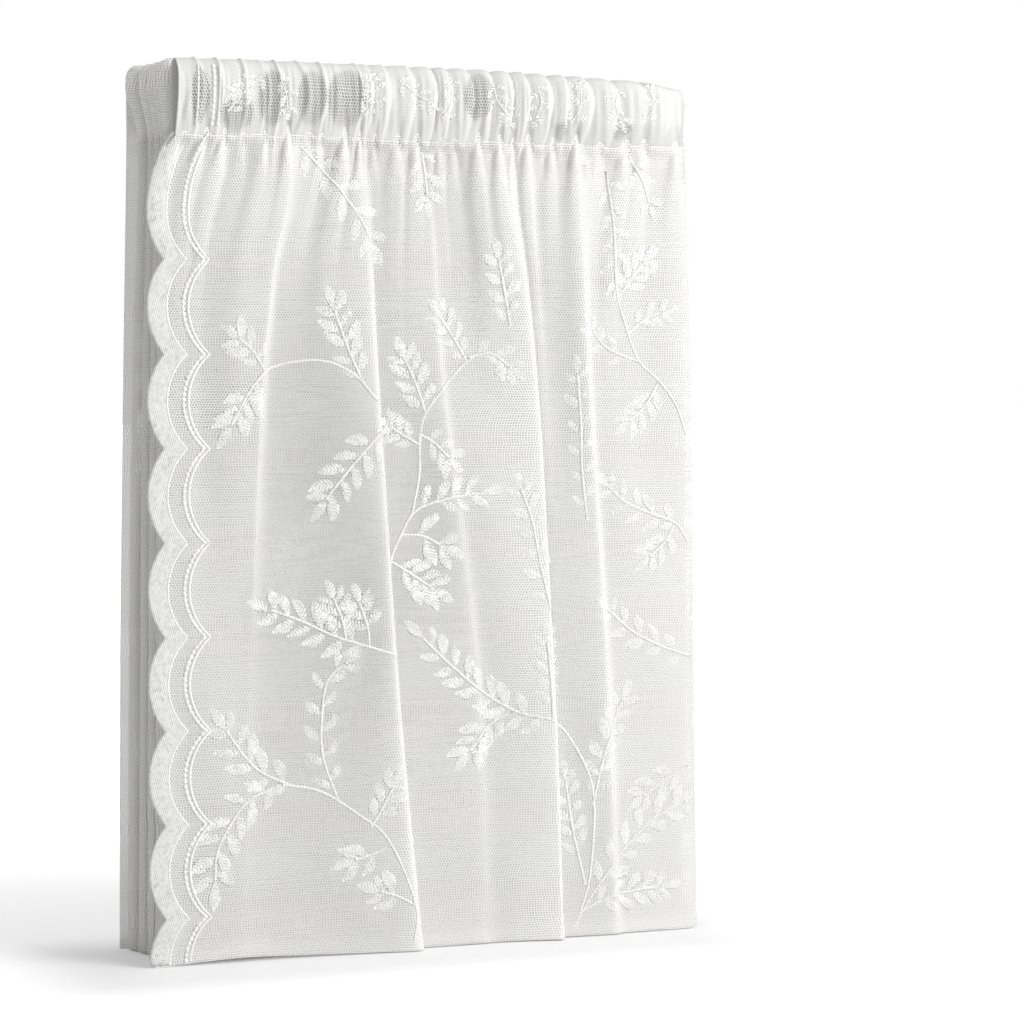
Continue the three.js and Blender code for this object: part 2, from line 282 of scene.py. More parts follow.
gather_strength = rng.uniform(0.75, 1.25, len(gather_lines))
gather_fade = rng.uniform(22, 60, len(gather_lines))
seam_wander = rng.uniform(-1.2, 1.2, len(gather_lines))
ridge_place = PER_GATHER * np.arange(len(gather_lines)) + rng.uniform(-0.6, 0.6, len(gather_lines))
ridge_height = rng.uniform(0.5, 1.15, len(gather_lines))
ridge_height[0] = FIRST_RIDGE
ridge_lean = rng.uniform(0.1, 1.5, len(gather_lines))
crease_place = PER_GATHER * (np.arange(len(GATHER_WIDTHS)) + 0.5)
crease_place = crease_place + rng.uniform(-1.0, 1.0, len(GATHER_WIDTHS))
crease_height = rng.uniform(0.3, 0.8, len(GATHER_WIDTHS))
crease_reach = rng.uniform(0.25, 0.8, len(GATHER_WIDTHS))
crease_lean = rng.uniform(-1.5, 1.5, len(GATHER_WIDTHS))
tent_height = np.random.default_rng(11).uniform(0.35, 1.25, len(GATHER_WIDTHS))


def gather_ridges(column, up=0.0, spread=1.0):
    """Narrow folds of the gathers: the highest of height / (1 + (distance / width)^2)^1.5. Long ridges bow
    with the share of the heading's height; short creases start at the seam and run out above it."""
    column, up, spread = np.broadcast_arrays(np.asarray(column, float), np.clip(up, 0, 1), spread)
    column, up, width = column[..., None], up[..., None], RIDGE_WIDTH * spread[..., None]
    long = (column - ridge_place - ridge_lean * np.sin(np.pi * up)) / width
    short = (column - crease_place - crease_lean * up) / width
    lasting = crease_height * np.clip(1 - up / crease_reach, 0, 1)
    return np.maximum(
        (ridge_height * (1 + long**2) ** -1.5).max(-1), (lasting * (1 + short**2) ** -1.5).max(-1)
    )


def gather_wave(column, up=0.0, spread=1.0):
    """Gathers of the heading: puffs, half circles fuller to the right that bow with the height, and a narrow
    ridge where two of them meet."""
    column = np.asarray(column, float)
    gather, ridge, puff = GATHER_SHAPES.T
    ridge_share = np.interp(column, PER_GATHER * gather, ridge)
    puff_share = np.interp(column, PER_GATHER * gather, puff)
    bowed = column - per_gather(ridge_lean, column) * np.sin(np.pi * np.clip(up, 0, 1))
    share = (bowed / PER_GATHER) % 1
    puffs = np.sqrt(np.clip(1 - (2 * share**PUFF_LEAN - 1) ** 2, 0, 1))
    return ridge_share * gather_ridges(column, up, spread) + puff_share * (puffs - PUFF_FLOOR)


def tents(column, below):
    """Tents under the stitch line: flat tops height / (1 + (distance / width)^6) that start as a point at the
    seam and widen with the distance below it."""
    column, below = np.broadcast_arrays(np.asarray(column, float), below)
    width = np.minimum(TENT_POINT + TENT_FLARE * below, TENT_WIDEST)
    away = (column[..., None] - crease_place) / width[..., None]
    return (tent_height / (1 + away**6)).max(-1)


def seam_y(column):
    """Depth of the stitch line, where the panel's top and the heading's foot are one cloth."""
    depth = GATHER_DEPTH * per_gather(gather_strength, column)
    out = SEAM_OUT * (1 - END_BACK * end_share(column) ** 2)
    return POCKET["behind"] - out * POCKET["depth"] - PINCH * depth * gather_wave(column)


def seam_z(column):
    """Height of the stitch line over its mean: it wanders and is drawn up to a point over each tent."""
    return per_gather(seam_wander, column) + PUCKER * (tents(column, TENT_START) - TENT_MEAN)


def layer_y(layer):
    """Depth of a layer's run: the first lies in front, the others follow at an even pitch."""
    return 0.0 if layer == 1 else FRONT_ROOM + (layer - 2) * LAYER_PITCH


def turn_side(layer):
    """1 where the turn that leads to a layer is on the right, -1 on the left."""
    return 1 if layer % 2 == 0 else -1


def turn_radius(layer):
    """Half the distance between the two runs that a turn joins."""
    return (layer_y(layer) - layer_y(layer - 1)) / 2


def turn_length(layer):
    """How far a turn reaches past the ends of its runs."""
    return turn_radius(layer) if layer == 2 else LOOP_LENGTH


def turn_centre(layer, z):
    """x where a turn begins: its outermost x less its length and its rounded corners."""
    turns = RIGHT_TURNS if turn_side(layer) > 0 else LEFT_TURNS
    outermost = at_height(turns[(layer - 2) // 2], z)
    corner = rounding(DROP - z, CORNER_RADIUS) + rounding(z, TURN_FOOT_RADIUS)
    return outermost - turn_side(layer) * (turn_length(layer) + TURN_ROOM + corner)


def run_points(layer, share, z):
    """x and y on a layer's run behind the front, share of the way from its turn to its other end."""
    start = turn_centre(layer, z)
    free = at_height(FREE_EDGE, z) + rounding(DROP - z, CORNER_RADIUS)
    end = free if layer == LAYERS else turn_centre(layer + 1, z)
    y = layer_y(layer) + LAYER_BOW * turn_side(layer) * np.sin(np.pi * share)
    return start + (end - start) * share, y


def front_folds(columns, z):
    """Hanging folds of the front run on a grid of columns and heights: past each crest the cloth drops by
    (1 - share/0.2)^2.5 and rises to the next one with share^2."""
    crest_columns = np.array([0] + [PER_GATHER * f["gather"] for f in FRONT_FOLDS] + [FRONT_COLUMNS])
    crest_x = np.stack(
        [np.full(len(z), -EDGE_TRIM)]
        + [at_height((*f["x"], gather_lines[f["gather"]]), z) for f in FRONT_FOLDS]
        + [turn_centre(2, z)]
    )
    crest_depth = np.stack([0 * z] + [at_height(f["depth"], z) for f in FRONT_FOLDS] + [0 * z])
    i = np.clip(np.searchsorted(crest_columns, columns, "left") - 1, 0, len(crest_columns) - 2)
    share = ((columns - crest_columns[i]) / (crest_columns[i + 1] - crest_columns[i]))[:, None]
    bent = share ** (1 + FLANK_EASE * crest_depth[i])
    hanging = crest_x[i] + (crest_x[i + 1] - crest_x[i]) * bent
    gathered = gather_x(columns)[:, None]
    x = hanging + (gathered - hanging) * ramp(z, STITCH - GATHER_FAN, STITCH)
    drop = np.clip(1 - share / FLANK_SHARE, 0, 1) ** FLANK_POWER
    y = -crest_depth[i] * drop - crest_depth[i + 1] * share**RISE_POWER
    c = columns[:, None]
    loose = ramp(c, 0, STILL_COLUMNS[0]) * ramp(FRONT_COLUMNS - c, 0, STILL_COLUMNS[1])
    ripple = np.cos(2 * np.pi * c / RIPPLE["columns"] + RIPPLE["phase"])
    y = y - RIPPLE["depth"] * loose * ripple * np.exp((z - STITCH) / RIPPLE["fade"])
    sway = np.sin(2 * np.pi * (c / SWAY["columns"] + z / SWAY["height"]))
    y = y - SWAY["depth"] * loose * sway * np.sin(np.pi * z / STITCH)
    return x, y


def add_gathers(y, columns, z):
    """The gathers fan out below the stitch line: tents and ridges, wider and lower the further down; at the
    line itself the cloth meets the heading's foot."""
    c = columns[:, None]
    below = STITCH - z
    depth = RIDGE_BELOW * GATHER_DEPTH * per_gather(gather_strength, c)
    fade = np.exp(-below / per_gather(gather_fade, c))
    rise = TENT_DEPTH * tents(c, below) * ramp(below, 0, TENT_START)
    ridges = gather_ridges(c + 0 * below, 0.0, RIDGE_WIDER + below / TENT_SPREAD)
    y = y - (depth * ridges + rise) * fade
    return y + (seam_y(c) - y) * ramp(z, STITCH - SEAM_BLEND, STITCH)


def smooth_columns(grid, passes):
    """Each column averaged with its neighbours as 1 : 2 : 1, several times over."""
    for _ in range(passes):
        grid = np.concatenate([grid[:1], (grid[:-2] + 2 * grid[1:-1] + grid[2:]) / 4, grid[-1:]])
    return grid


def follow_scallops(x, columns, z):
    """The border's columns share out the cloth between the scalloped edge and the border's last column."""
    edge = outer_edge(z)
    last = x[np.searchsorted(columns, BORDER_COLUMN)]
    share = (x - x[0]) / (last - x[0])
    return np.where(share < 1, edge + (last - edge) * share, x)


def front_rows():
    """Heights of the rows: even over the scallops, then closer and closer up to the stitch line."""
    arcs = FIRST_TIP + np.arange(0, LAST_TIP - FIRST_TIP + TABLE_STEP / 2, SCALLOP / ROWS_PER_SCALLOP)
    ease = 1 - np.linspace(1, 0, SWEEP_ROWS + 1)[1:] ** SWEEP_EASE
    sweep = LAST_TIP + (STITCH - LAST_TIP) * ease
    return np.concatenate([[0], arcs[:1], [FOOT_ROW], arcs[1:], sweep])


rows = front_rows()
stretched = LAST_TIP + (rows - LAST_TIP) * (DROP - LAST_TIP) / (rows[-1] - LAST_TIP)
stack_rows = np.where(rows > LAST_TIP, stretched, rows)
table_columns = np.arange(0, FRONT_COLUMNS + TABLE_STEP / 2, TABLE_STEP)
front_x, front_y = front_folds(table_columns, rows)
front_x = follow_scallops(smooth_columns(front_x, FOLD_SMOOTHING), table_columns, rows)
front_y = add_gathers(smooth_columns(front_y, FOLD_SMOOTHING), table_columns, rows)


def height_field(x, y, z_rows, low, high, step=0.5):
    """Depth y as a table over even steps of x for each row, so that stitches can lie on the cloth."""
    grid = np.arange(low, high + step / 2, step)
    order = np.argsort(x, axis=0)
    sorted_x = np.take_along_axis(x, order, 0)
    sorted_y = np.take_along_axis(y, order, 0)
    table = np.stack([np.interp(grid, sorted_x[:, r], sorted_y[:, r]) for r in range(x.shape[1])], 1)
    return {"low": low, "step": step, "table": table, "rows": z_rows}


def look_up(field, x, z):
    """Depth of a height field at x and z, mixed from the four table entries around the point."""
    table = field["table"]
    columns, count = table.shape
    u = np.clip((x - field["low"]) / field["step"], 0, columns - LAST_CELL)
    v = np.clip(np.interp(z, field["rows"], np.arange(count)), 0, count - LAST_CELL)
    i, j = u.astype(int), v.astype(int)
    p, q = u - i, v - j
    near = table[i, j] * (1 - q) + table[i, j + 1] * q
    far = table[i + 1, j] * (1 - q) + table[i + 1, j + 1] * q
    return near * (1 - p) + far * p


def lift(field, x, z, up, side=-1):
    """Points on a height field moved off it by up along its normal, to the front (-1) or the back (1)."""
    y = look_up(field, x, z)
    d = SLOPE_REACH
    slope_x = (look_up(field, x + d, z) - look_up(field, x - d, z)) / (2 * d)
    slope_z = (look_up(field, x, z + d) - look_up(field, x, z - d)) / (2 * d)
    normal = side * unit(np.stack([-slope_x, np.ones_like(y), -slope_z], -1))
    return np.stack([x, y, z], -1) + normal * np.asarray(up)[..., None], normal


front_field = height_field(front_x, front_y - HALF_CLOTH, rows, *FRONT_SPAN)


def grid_quads(columns, count, wrap=False):
    """Quads of a grid of columns x count points; wrap joins the last row to the first."""
    c = np.arange(columns - 1)[:, None]
    r = np.arange(count if wrap else count - 1)[None, :]
    after = (r + 1) % count
    quads = np.stack([c * count + r, (c + 1) * count + r, (c + 1) * count + after, c * count + after], -1)
    return quads.reshape(-1, 4)


def walls(outer, inner, wrap=False):
    """Closed shell from two grids of points [column][row], joined by rims along their open edges; wrap joins
    the last row to the first."""
    columns, count = outer.shape[:2]
    far = columns * count
    face = grid_quads(columns, count, wrap)
    quads = [face, face[:, ::-1] + far]
    first = np.arange(count + wrap) % count
    last = first + (columns - 1) * count
    foot = np.arange(columns) * count
    open_edges = [first, last[::-1]] if wrap else [foot[::-1], foot + count - 1, first, last[::-1]]
    for edge in open_edges:
        quads.append(np.stack([edge[:-1], edge[1:], edge[1:] + far, edge[:-1] + far], -1))
    return np.concatenate([outer.reshape(-1, 3), inner.reshape(-1, 3)]), np.concatenate(quads)


def shell(points, normals, half):
    """Thin closed sheet round a grid of points."""
    offset = normals * np.asarray(half)[..., None]
    return walls(points + offset, points - offset)


def unit(vectors):
    """Vectors divided by their length."""
    return vectors / np.linalg.norm(vectors, axis=-1, keepdims=True)


def plan_normals(points):
    """Normals in plan, square to the run of the cloth, so that hem and top stay level."""
    along = np.gradient(points, axis=0)
    return unit(np.stack([along[..., 1], -along[..., 0], 0 * along[..., 0]], -1))


def arc_lengths(points):
    """Length along the first axis of an array of points, from 0."""
    steps = np.linalg.norm(np.diff(points, axis=0), axis=-1)
    return np.concatenate([np.zeros_like(steps[:1]), np.cumsum(steps, axis=0)])


def make_piece(name, verts, quads, uv, material, node, dense=None):
    """Mesh of quads from arrays in millimetres; uv is the place on the cloth, dense how full the net is. Both
    may be given for one wall of two."""
    wall_count = len(verts) // len(uv)
    uv = np.tile(uv, (wall_count, 1))
    mesh = bpy.data.meshes.new(name)
    mesh.vertices.add(len(verts))
    mesh.vertices.foreach_set("co", ((raise_hem(verts) + origin) * MM).astype(np.float32).ravel())
    mesh.loops.add(quads.size)
    mesh.loops.foreach_set("vertex_index", quads.astype(np.int32).ravel())
    mesh.polygons.add(len(quads))
    mesh.polygons.foreach_set("loop_start", np.arange(0, quads.size, 4, dtype=np.int32))
    mesh.polygons.foreach_set("use_smooth", np.ones(len(quads), bool))
    layer = mesh.uv_layers.new(name="cloth")
    layer.data.foreach_set("uv", (uv[quads.ravel()] * MM).astype(np.float32).ravel())
    if dense is not None:
        fullness = mesh.attributes.new("dense", "FLOAT", "POINT")
        fullness.data.foreach_set("value", np.tile(dense, wall_count).astype(np.float32))
    mesh.update(calc_edges=True)
    mesh.validate()
    mesh.materials.append(material)
    piece = bpy.data.objects.new(name, mesh)
    bpy.context.scene.collection.objects.link(piece)
    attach(piece, "root")
    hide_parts(node)
    return piece


# Materials

NET_PITCH = 0.00145
NET_HOLE = 0.29
# Shares of the net's pitch: soft rim of a hole, rim to the middle of the thread (the span of the painted
# shade of its flanks), closing of a full net
NET_RIM = 0.1
NET_THREAD = 0.24
NET_CLOSING = 0.1
NET_WOBBLE = {"Scale": 240, "Detail": 1}
NET_WOBBLE_SIZE = (0.0009, 0.0009, 0.0)
MOTTLE = {"Scale": 520, "Detail": 2}
MOTTLE_CONTRAST = 5.0
# Scale and offset from stitch ridge and mottle to tone: the darker grooves are painted shade, the mottle is
# the thread's own
STITCH_SHADE_AND_MOTTLE = (0.4, 0.6)
NET_RELIEF = 0.0006
STITCH_RELIEF = 0.0003
RIB_WIDTH = 0.12
RIB_CLOSED = 2.0


def feed(tree, socket, value):
    """Give an input a socket to follow or a value."""
    if isinstance(value, bpy.types.NodeSocket):
        tree.links.new(value, socket)
    else:
        socket.default_value = value


def add_node(tree, kind, inputs, **settings):
    """Shader node with its settings; the named inputs are fed with sockets or values."""
    node = tree.nodes.new("ShaderNode" + kind)
    for name, value in settings.items():
        setattr(node, name, value)
    for name, value in inputs.items():
        feed(tree, node.inputs[name], value)
    return node


def calc(tree, operation, *inputs):
    """Math node; an input is a socket or a number."""
    return add_node(tree, "Math", dict(enumerate(inputs)), operation=operation).outputs[0]


def new_group(name, floats, outputs):
    """Node group that takes a place on the cloth and some numbers, and gives numbers."""
    tree = bpy.data.node_groups.new(name, "ShaderNodeTree")
    tree.interface.new_socket("Cloth", in_out="INPUT", socket_type="NodeSocketVector")
    for label in floats:
        tree.interface.new_socket(label, in_out="INPUT", socket_type="NodeSocketFloat")
    for label in outputs:
        tree.interface.new_socket(label, in_out="OUTPUT", socket_type="NodeSocketFloat")
    given = tree.nodes.new("NodeGroupInput").outputs
    place = add_node(tree, "SeparateXYZ", {"Vector": given["Cloth"]}).outputs
    return tree, given, place, tree.nodes.new("NodeGroupOutput").inputs


def net_group():
    """Hexagonal net: distance to the nearest mesh centre of two offset grids, open where it is small."""
    tree, given, place, result = new_group(
        "hexagon net", ["Pitch", "Hole", "Dense"], ["Thread", "Core", "Height"]
    )
    u = calc(tree, "DIVIDE", place["X"], given["Pitch"])
    v = calc(tree, "DIVIDE", place["Y"], given["Pitch"])
    half_row = math.sqrt(3) / 2
    distances = []
    for shift_u, shift_v in ((0.0, 0.0), (0.5, half_row)):
        across = calc(tree, "WRAP", calc(tree, "ADD", u, shift_u), 0.5, -0.5)
        up = calc(tree, "WRAP", calc(tree, "ADD", v, shift_v), half_row, -half_row)
        square = calc(tree, "MULTIPLY_ADD", across, across, calc(tree, "MULTIPLY", up, up))
        distances.append(calc(tree, "SQRT", square))
    distance = calc(tree, "MINIMUM", *distances)
    hole = calc(tree, "MULTIPLY", given["Hole"], calc(tree, "SUBTRACT", 1.0, given["Dense"]))
    hole = calc(tree, "MULTIPLY_ADD", given["Dense"], -NET_CLOSING, hole)
    past_hole = calc(tree, "SUBTRACT", distance, hole)
    # Core runs from 0 at a hole's rim to 1 in the thread's middle; it sets the painted shade of the thread's
    # flanks
    for label, width in (("Thread", NET_RIM), ("Core", NET_THREAD)):
        share = add_node(tree, "Clamp", {"Value": calc(tree, "DIVIDE", past_hole, width)})
        tree.links.new(share.outputs[0], result[label])
    tree.links.new(distance, result["Height"])
    return tree


def stitch_group():
    """Rows of satin stitch that slant away from the middle of a leaf, as a sine of the slanted distance."""
    tree, given, place, result = new_group("stitch rows", ["Pitch", "Slant"], ["Ridge"])
    side = calc(tree, "MULTIPLY", calc(tree, "ABSOLUTE", place["Y"]), given["Slant"])
    row = calc(tree, "DIVIDE", calc(tree, "SUBTRACT", place["X"], side), given["Pitch"])
    wave = calc(tree, "SINE", calc(tree, "MULTIPLY", row, 2 * math.pi))
    tree.links.new(wave, result["Ridge"])
    return tree


def new_material(name):
    """Material with its node tree and its shader."""
    material = bpy.data.materials.new(name)
    material.use_nodes = True
    return material, material.node_tree, material.node_tree.nodes["Principled BSDF"]


def add_bump(tree, shader, height, distance, strength):
    """Relief of the thread."""
    bump = add_node(tree, "Bump", {"Distance": distance, "Strength": strength, "Height": height})
    tree.links.new(bump.outputs[0], shader.inputs["Normal"])


def add_tone(tree, shader, factor, colour, shade):
    """Colour from the shade at 0 to the full colour at 1."""
    tone = add_node(tree, "Mix", {"Factor": factor, "A": shade, "B": colour}, data_type="RGBA")
    tree.links.new(tone.outputs["Result"], shader.inputs["Base Color"])


def net_material(name, colour, shade):
    """Net whose thread is darker towards its holes: painted shade of a round thread's flanks."""
    material, tree, shader = new_material(name)
    cloth = add_node(tree, "UVMap", {}, uv_map="cloth").outputs[0]
    wobble = add_node(tree, "TexNoise", {"Vector": cloth, **NET_WOBBLE}).outputs["Color"]
    shifted = {0: wobble, 1: NET_WOBBLE_SIZE, 2: cloth}
    place = add_node(tree, "VectorMath", shifted, operation="MULTIPLY_ADD").outputs[0]
    dense = add_node(tree, "Attribute", {}, attribute_name="dense").outputs["Fac"]
    given = {"Cloth": place, "Pitch": NET_PITCH, "Hole": NET_HOLE, "Dense": dense}
    net = add_node(tree, "Group", given, node_tree=net_tree).outputs
    # Painted shade: the thread's colour falls to the shade colour towards each hole
    add_tone(tree, shader, net["Core"], colour, shade)
    shader.inputs["Roughness"].default_value = 0.8
    tree.links.new(net["Thread"], shader.inputs["Alpha"])
    add_bump(tree, shader, net["Height"], distance=NET_RELIEF, strength=0.5)
    return material


def satin_material(name, pitch, slant, colour, shade, strength, open_below=None, margin_open=0.0):
    """Thread in rows, mottled by noise, darker between the rows as painted shade in their grooves. Where rows
    and noise fall below open_below the net shows through, more so at the margin; the middle rib of a leaf and
    its stem stay closed."""
    material, tree, shader = new_material(name)
    cloth = add_node(tree, "UVMap", {}, uv_map="cloth").outputs[0]
    given = {"Cloth": cloth, "Pitch": pitch, "Slant": slant}
    stitches = add_node(tree, "Group", given, node_tree=stitch_tree).outputs["Ridge"]
    place = add_node(tree, "TexCoord", {}).outputs["Object"]
    mottle = add_node(tree, "TexNoise", {"Vector": place, **MOTTLE}).outputs["Fac"]
    patch = calc(tree, "MULTIPLY_ADD", mottle, MOTTLE_CONTRAST, -MOTTLE_CONTRAST / 2)
    ridge = calc(tree, "ADD", stitches, patch)
    # Painted shade in the grooves between the stitch rows, together with the thread's real mottle
    stitch_shade_and_mottle = add_node(tree, "Clamp", {"Value": calc(tree, "MULTIPLY_ADD", ridge, *STITCH_SHADE_AND_MOTTLE)})
    add_tone(tree, shader, stitch_shade_and_mottle.outputs[0], colour, shade)
    shader.inputs["Roughness"].default_value = 0.6
    add_bump(tree, shader, ridge, distance=STITCH_RELIEF, strength=strength)
    if open_below is not None:
        margin = add_node(tree, "Attribute", {}, attribute_name="dense").outputs["Fac"]
        closed = calc(tree, "MULTIPLY_ADD", margin, -margin_open, ridge)
        rib = calc(tree, "LESS_THAN", margin, RIB_WIDTH)
        closed = calc(tree, "MULTIPLY_ADD", rib, RIB_CLOSED, closed)
        tree.links.new(calc(tree, "GREATER_THAN", closed, open_below), shader.inputs["Alpha"])
    return material


net_tree = net_group()
stitch_tree = stitch_group()
lace_net = net_material("lace net", colour=(0.952, 0.944, 0.937, 1), shade=(0.742, 0.736, 0.73, 1))
# Darker copy of the lace net, painted shade: toned down where the heading faces the light, with near-black
# thread rims for the pocket's dark hollow
heading_net_painted_shade = net_material("heading net painted shade", colour=(0.71, 0.706, 0.7, 1), shade=(0.2, 0.199, 0.196, 1))
satin_thread = satin_material(
    "satin thread", pitch=0.0018, slant=0.8, colour=(0.9, 0.897, 0.892, 1), shade=(0.71, 0.707, 0.702, 1),
    strength=0.25, open_below=-0.45, margin_open=0.5,
)
border_thread = satin_material(
    "border thread", pitch=0.0015, slant=0.6, colour=(0.78, 0.78, 0.775, 1), shade=(0.56, 0.56, 0.555, 1),
    strength=0.3, open_below=-1.4, margin_open=-0.5,
)
cord_thread = satin_material(
    "cord thread", pitch=0.0012, slant=0.9, colour=(0.92, 0.92, 0.915, 1), shade=(0.8, 0.8, 0.795, 1),
    strength=0.3,
)

# The lace panel


def layer_columns(layer):
    """Turn and run of one layer behind the front: a loop that swells like a drop, half-width radius +
    swell * sin(2 angle)^2, then a slightly bowed run. The first turn is a plain half circle."""
    radius = turn_radius(layer)
    y = layer_y(layer)
    made = []
    for step in range(1, TURN_STEPS + 1):
        angle = -math.pi / 2 + math.pi * step / TURN_STEPS
        share = min((step - 1) / (TURN_STEPS - 2), 1) if layer == 2 else 1
        z = rows + (stack_rows - rows) * share
        reach = turn_side(layer) * turn_length(layer) * math.cos(angle)
        flat = 1 - LOOP_FLAT["share"] * ramp(z, STITCH - LOOP_FLAT["height"], STITCH)
        swell = 0 * z if layer == 2 else LOOP_SWELL * flat * math.sin(2 * angle) ** 2
        depth = y - radius + (radius + swell) * math.sin(angle)
        made.append(np.stack([turn_centre(layer, z) + reach, depth, z], -1))
    for step in range(1, RUN_COLUMNS + 1):
        x, run_y = run_points(layer, step / RUN_COLUMNS, stack_rows)
        made.append(np.stack([x, run_y + 0 * x, stack_rows], -1))
    return np.stack(made)


# How much fuller the net looks: turned in under the stitch line, in the flat pockets behind, in the tents, at
# the free edge, and left of a crest for each millimetre of its depth
FULLNESS = {"turned": 0.1, "pocket": 0.35, "tent": 0.35, "selvedge": 0.3, "pleat": 0.028}
TURNED_IN = (12, 9)
POCKET_EDGE = 2
TENT_FADE = 26
PLEAT_REACH = {"left": 7, "right": 0.8}
# By gather, all the way down
PANEL_FILL = [(17, 0.04), (17.5, 0.03), (20.5, 0.03), (21.5, 0.09)]
# In the lower part left of the second deep crest: gathers from and to, heights
LOWER_FILL = {"more": 0.13, "from": (14, 15.5), "to": (16.5, 17.5), "height": (260, 380)}
# Looser halfway up, on either side of the first deep crest
LOOSE_FILL = {"less": 0.17, "from": (5, 7), "to": (12.5, 13.5), "power": 4}
# Looser at the top between the two deep crests
TOP_FILL = {"less": 0.1, "from": (8, 10), "to": (16, 17), "height": (300, 400)}


def pleat_fill(x, z):
    """How much fuller the net looks just left of a crest, where it lies double: exp(-distance / reach)."""
    fill = np.zeros_like(x)
    for fold in FRONT_FOLDS:
        left = at_height((*fold["x"], gather_lines[fold["gather"]]), z) - x
        depth = at_height(fold["depth"], z)
        reach = np.where(left > 0, PLEAT_REACH["left"], PLEAT_REACH["right"])
        fill = np.maximum(fill, FULLNESS["pleat"] * depth * np.exp(-np.abs(left) / reach))
    return fill


def between(value, rise, fall):
    """Soft step up over the first pair of values and down again over the second."""
    return ramp(value, *rise) * (1 - ramp(value, *fall))


def panel_fill(columns, z):
    """How much fuller or looser the net looks over the front run, by gather and height."""
    gather = columns[:, None] / PER_GATHER
    full = np.interp(gather, *np.transpose(PANEL_FILL))
    lower = between(gather, LOWER_FILL["from"], LOWER_FILL["to"])
    lower = lower * (1 - ramp(z, *LOWER_FILL["height"]))
    loose = between(gather, LOOSE_FILL["from"], LOOSE_FILL["to"])
    loose = loose * np.sin(np.pi * z / STITCH) ** LOOSE_FILL["power"]
    top = between(gather, TOP_FILL["from"], TOP_FILL["to"]) * ramp(z, *TOP_FILL["height"])
    return full + LOWER_FILL["more"] * lower - LOOSE_FILL["less"] * loose - TOP_FILL["less"] * top


def build_panel():
    """The panel as one sheet: front run, then eleven turns and runs back and forth behind it."""
    seam = seam_z(table_columns)[:, None] * ramp(rows, STITCH - SEAM_DRAW, STITCH)
    front = np.stack([front_x, front_y, rows + seam], -1)[::2]
    columns = table_columns[::2]
    layers = [layer_columns(layer) for layer in range(2, LAYERS + 1)]
    points = np.concatenate([front] + layers)
    z = points[..., 2].copy()
    behind = (np.arange(len(points)) >= len(front))[:, None]
    swell = FLAT_POCKET_SWELL * np.sin(np.pi * np.clip((z - STITCH) / POCKET["height"], 0, 1))
    inside = ramp(points[..., 0], INNER_LINE[0] - HEM["blend"], INNER_LINE[0] + HEM["blend"])
    hem = np.where(z <= HEM["height"], HEM["extra"], 0) * np.where(behind, 1, inside)
    half = HALF_CLOTH + hem + np.where(behind, swell, 0)
    points[..., 2] -= slump(points[..., 0]) * ramp(z, STITCH, DROP) * behind
    thin = ramp(z, STITCH - SEAM_THIN["from"], STITCH - SEAM_THIN["to"]) * ~behind
    half = half * (1 - SEAM_THIN["share"] * thin)
    verts, quads = shell(points, plan_normals(points), half)
    uv = np.stack([arc_lengths(points), z], -1).reshape(-1, 2)
    turned = ramp(z, STITCH - TURNED_IN[0], STITCH - TURNED_IN[1]) * ~behind
    pocket = ramp(z, STITCH - POCKET_EDGE, STITCH + POCKET_EDGE) * behind
    dense = FULLNESS["turned"] * turned + FULLNESS["pocket"] * pocket
    tent = np.exp((rows - STITCH) / TENT_FADE) * tents(columns[:, None], STITCH - rows)
    dense[: len(front)] += pleat_fill(front[..., 0], rows) + panel_fill(columns, rows)
    dense[: len(front)] += FULLNESS["tent"] * tent
    dense[-1:] += FULLNESS["selvedge"]
    return make_piece("lace_cloth", verts, quads, uv, lace_net, "lace_panel", dense.ravel())


lace_cloth = build_panel()

# The gathered heading

SECTION_STEPS = 52
HEADING_STEP = 0.25
FIELD_STEPS = 120
FIELD_ROWS = 30
FIELD_ENDS = (1, 3)
# Where the heading's net lies single and shows its holes, with near-black thread rims as painted shade of the
# hollow pocket behind: x from, x to, share of the height from, to
HEADING_WINDOWS = [
    (20, 31, 0.05, 0.92), (34, 55, 0.0, 0.48), (54, 72, 0.05, 0.9), (75, 92, 0.05, 0.92),
    (90, 114, 0.05, 0.95), (164, 183, 0.2, 0.98), (217, 225, 0.0, 0.3), (250, 262, 0.05, 0.3),
]
WINDOW_SOFTNESS = 0.4
HEADING_FULLNESS = {"least": 1.05, "most": 1.45, "window": 0.28, "ridge": 0.3, "band": 0.1, "mottle": 0.25}
DENSE_RIDGE = (0.35, 1.0)
BAND = {"width": 9, "blend": 3}
# Mottle of the gathered net, a product of two waves: length along x, turns over the height
MOTTLE_WAVES = ((6.1, 1.3), (9.7, -2.1))
gather_fill = rng.uniform(HEADING_FULLNESS["least"], HEADING_FULLNESS["most"], len(gather_lines))
heading_columns = np.arange(0, FRONT_COLUMNS + HEADING_STEP / 2, HEADING_STEP)


def spline(a, b, c, d, t):
    """Cubic curve from b at t = 0 to c at t = 1; its slopes there are half of c - a and of d - b."""
    return 0.5 * (2 * b + (c - a) * t + (2 * a - 5 * b + 4 * c - d) * t**2 + (3 * b - a - 3 * c + d) * t**3)


def section_curve(place):
    """Closed cubic curve through the pocket's section points; place counts the points."""
    closed = np.concatenate([POCKET_SECTION[-1:], POCKET_SECTION, POCKET_SECTION[:3]])
    i = place.astype(int)
    return spline(*(closed[i + k] for k in range(4)), (place - i)[:, None])


